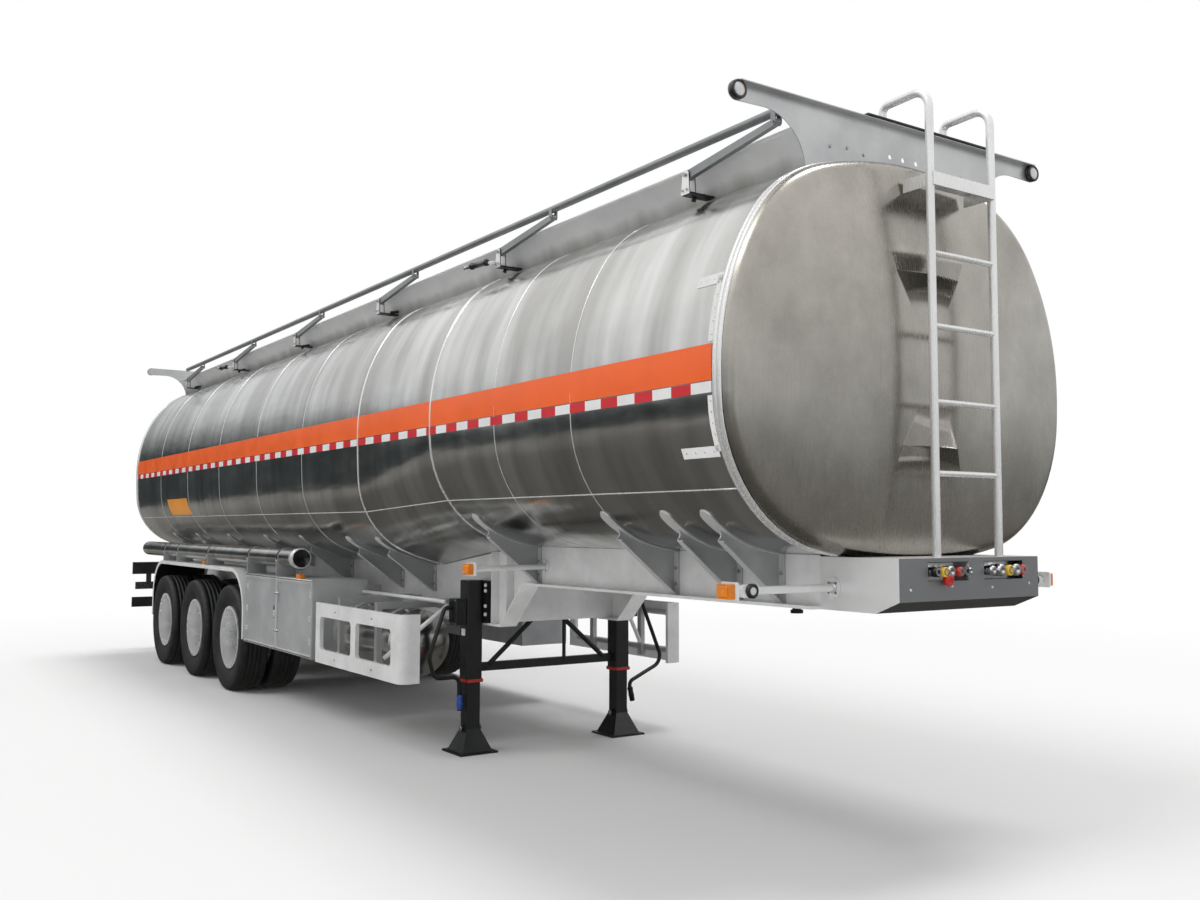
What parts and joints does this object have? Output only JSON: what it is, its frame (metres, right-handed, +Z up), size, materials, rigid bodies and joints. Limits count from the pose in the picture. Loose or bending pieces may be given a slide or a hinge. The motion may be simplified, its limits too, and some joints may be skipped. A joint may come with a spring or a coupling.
{
  "type": "tank semi-trailer",
  "caption": "Aluminium tank semi-trailer with stepped belly, twin wheels, landing legs, front ladder, folding handrail, side guards and valve cabinets.",
  "frame": {"origin": "on the ground, under the middle of the overall length and width", "axes": "+X forward along the vehicle, +Y to its left, +Z up"},
  "size_m": [12.65, 2.514, 3.8177],
  "materials": {
    "aluminium_skin": "polished aluminium sheet, mirror-like with soft waves",
    "aluminium_satin": "brushed aluminium plate",
    "painted_steel": "pale grey paint",
    "black_steel": "black paint",
    "rim_metal": "polished wheel metal",
    "tyre_rubber": "black rubber",
    "lamp_plastic": "amber lamp lenses",
    "coupling_metal": "couplings with coloured covers",
    "hose_rubber": "black hose"
  },
  "bodies": {
    "trailer": {"axles": "black_steel", "cabinets": "painted_steel", "coaming": "aluminium_skin", "coupler_plate": "black_steel", "cross_members": "painted_steel", "discharge_pipes": "aluminium_satin", "handrail_brackets": "aluminium_satin", "hose_tube": "aluminium_skin", "ladder": "aluminium_satin", "lamps": "lamp_plastic", "landing_feet": "black_steel", "landing_legs": "black_steel", "leaf_springs": "black_steel", "main_beams": "painted_steel", "manhole_collars": "aluminium_satin", "marker_arms": "painted_steel", "mudguards": "painted_steel", "nose_box": "painted_steel", "outriggers": "aluminium_satin", "rear_bumper": "black_steel", "reservoir": "aluminium_skin", "service_couplings": "coupling_metal", "side_brackets": "black_steel", "side_guards": "painted_steel", "spring_hangers": "black_steel", "tank_cone": "aluminium_skin", "tank_front_barrel": "aluminium_skin", "tank_heads": "aluminium_satin", "tank_rear_barrel": "aluminium_skin", "walkway": "aluminium_satin", "wing_plates": "aluminium_satin"},
    "wheel_left_1": {"tyres_left_1": "tyre_rubber", "wheels_left_1": "rim_metal"},
    "wheel_right_1": {"tyres_right_1": "tyre_rubber", "wheels_right_1": "rim_metal"},
    "wheel_left_2": {"tyres_left_2": "tyre_rubber", "wheels_left_2": "rim_metal"},
    "wheel_right_2": {"tyres_right_2": "tyre_rubber", "wheels_right_2": "rim_metal"},
    "wheel_left_3": {"tyres_left_3": "tyre_rubber", "wheels_left_3": "rim_metal"},
    "wheel_right_3": {"tyres_right_3": "tyre_rubber", "wheels_right_3": "rim_metal"},
    "manhole_lid_1": {"manhole_lid_1": "aluminium_satin"},
    "manhole_lid_2": {"manhole_lid_2": "aluminium_satin"},
    "manhole_lid_3": {"manhole_lid_3": "aluminium_satin"},
    "cabinet_door_left_front": {"cabinet_door_left_front": "painted_steel"},
    "cabinet_door_left_rear": {"cabinet_door_left_rear": "painted_steel"},
    "cabinet_door_right_front": {"cabinet_door_right_front": "painted_steel"},
    "cabinet_door_right_rear": {"cabinet_door_right_rear": "painted_steel"},
    "hose_tube_lid": {"hose_tube_lid": "aluminium_skin"},
    "handrail_post_1": {"handrail_post_1": "aluminium_satin"},
    "handrail_post_2": {"handrail_post_2": "aluminium_satin"},
    "handrail_post_3": {"handrail_post_3": "aluminium_satin"},
    "handrail_post_4": {"handrail_post_4": "aluminium_satin"},
    "handrail_post_5": {"handrail_post_5": "aluminium_satin"},
    "handrail_post_6": {"handrail_post_6": "aluminium_satin"},
    "handrail_rail": {"handrail_rail": "aluminium_skin"}
  },
  "joints": [
    {"name": "wheel_left_1_spin", "type": "hinge", "parent": "trailer", "child": "wheel_left_1", "pos_m": [-1.721, 0.943, 0.52], "axis": [0, 1, 0], "continuous": true},
    {"name": "wheel_right_1_spin", "type": "hinge", "parent": "trailer", "child": "wheel_right_1", "pos_m": [-1.721, -0.943, 0.52], "axis": [0, 1, 0], "continuous": true},
    {"name": "wheel_left_2_spin", "type": "hinge", "parent": "trailer", "child": "wheel_left_2", "pos_m": [-3.031, 0.943, 0.52], "axis": [0, 1, 0], "continuous": true},
    {"name": "wheel_right_2_spin", "type": "hinge", "parent": "trailer", "child": "wheel_right_2", "pos_m": [-3.031, -0.943, 0.52], "axis": [0, 1, 0], "continuous": true},
    {"name": "wheel_left_3_spin", "type": "hinge", "parent": "trailer", "child": "wheel_left_3", "pos_m": [-4.341, 0.943, 0.52], "axis": [0, 1, 0], "continuous": true},
    {"name": "wheel_right_3_spin", "type": "hinge", "parent": "trailer", "child": "wheel_right_3", "pos_m": [-4.341, -0.943, 0.52], "axis": [0, 1, 0], "continuous": true},
    {"name": "manhole_lid_1_open", "type": "hinge", "parent": "trailer", "child": "manhole_lid_1", "pos_m": [3.925, 0, 3.571], "axis": [0, -1, 0], "range_deg": [0, 100]},
    {"name": "manhole_lid_2_open", "type": "hinge", "parent": "trailer", "child": "manhole_lid_2", "pos_m": [-0.125, 0, 3.571], "axis": [0, -1, 0], "range_deg": [0, 100]},
    {"name": "manhole_lid_3_open", "type": "hinge", "parent": "trailer", "child": "manhole_lid_3", "pos_m": [-3.725, 0, 3.571], "axis": [0, -1, 0], "range_deg": [0, 100]},
    {"name": "cabinet_door_left_front_open", "type": "hinge", "parent": "trailer", "child": "cabinet_door_left_front", "pos_m": [0.672, 1.24, 0.85], "axis": [0, 0, -1], "range_deg": [0, 110]},
    {"name": "cabinet_door_left_rear_open", "type": "hinge", "parent": "trailer", "child": "cabinet_door_left_rear", "pos_m": [-1.142, 1.24, 0.85], "axis": [0, 0, 1], "range_deg": [0, 110]},
    {"name": "cabinet_door_right_front_open", "type": "hinge", "parent": "trailer", "child": "cabinet_door_right_front", "pos_m": [0.672, -1.24, 0.85], "axis": [0, 0, 1], "range_deg": [0, 110]},
    {"name": "cabinet_door_right_rear_open", "type": "hinge", "parent": "trailer", "child": "cabinet_door_right_rear", "pos_m": [-1.142, -1.24, 0.85], "axis": [0, 0, -1], "range_deg": [0, 110]},
    {"name": "hose_tube_lid_open", "type": "hinge", "parent": "trailer", "child": "hose_tube_lid", "pos_m": [0.115, -1.148, 1.444], "axis": [0, -1, 0], "range_deg": [0, 100]},
    {"name": "handrail_post_1_turn", "type": "hinge", "parent": "trailer", "child": "handrail_post_1", "pos_m": [5.142, -0.825, 3.5], "axis": [0, -1, 0], "range_deg": [0, 80]},
    {"name": "handrail_post_2_turn", "type": "hinge", "parent": "trailer", "child": "handrail_post_2", "pos_m": [3.082, -0.825, 3.5], "axis": [0, -1, 0], "range_deg": [0, 80]},
    {"name": "handrail_post_3_turn", "type": "hinge", "parent": "trailer", "child": "handrail_post_3", "pos_m": [1.022, -0.825, 3.5], "axis": [0, -1, 0], "range_deg": [0, 80]},
    {"name": "handrail_fold", "type": "hinge", "parent": "trailer", "child": "handrail_post_4", "pos_m": [-1.038, -0.825, 3.5], "axis": [0, -1, 0], "range_deg": [0, 80]},
    {"name": "handrail_post_5_turn", "type": "hinge", "parent": "trailer", "child": "handrail_post_5", "pos_m": [-3.098, -0.825, 3.5], "axis": [0, -1, 0], "range_deg": [0, 80]},
    {"name": "handrail_post_6_turn", "type": "hinge", "parent": "trailer", "child": "handrail_post_6", "pos_m": [-5.158, -0.825, 3.5], "axis": [0, -1, 0], "range_deg": [0, 80]},
    {"name": "handrail_rail_level", "type": "hinge", "parent": "handrail_post_4", "child": "handrail_rail", "pos_m": [-0.35771, -0.825, 3.58835], "axis": [0, -1, 0], "range_deg": [-80, 0]}
  ],
  "couplings": [
    {"joint": "handrail_post_1_turn", "follows": "handrail_fold", "ratio": 1},
    {"joint": "handrail_post_2_turn", "follows": "handrail_fold", "ratio": 1},
    {"joint": "handrail_post_3_turn", "follows": "handrail_fold", "ratio": 1},
    {"joint": "handrail_post_5_turn", "follows": "handrail_fold", "ratio": 1},
    {"joint": "handrail_post_6_turn", "follows": "handrail_fold", "ratio": 1},
    {"joint": "handrail_rail_level", "follows": "handrail_fold", "ratio": -1}
  ]
}
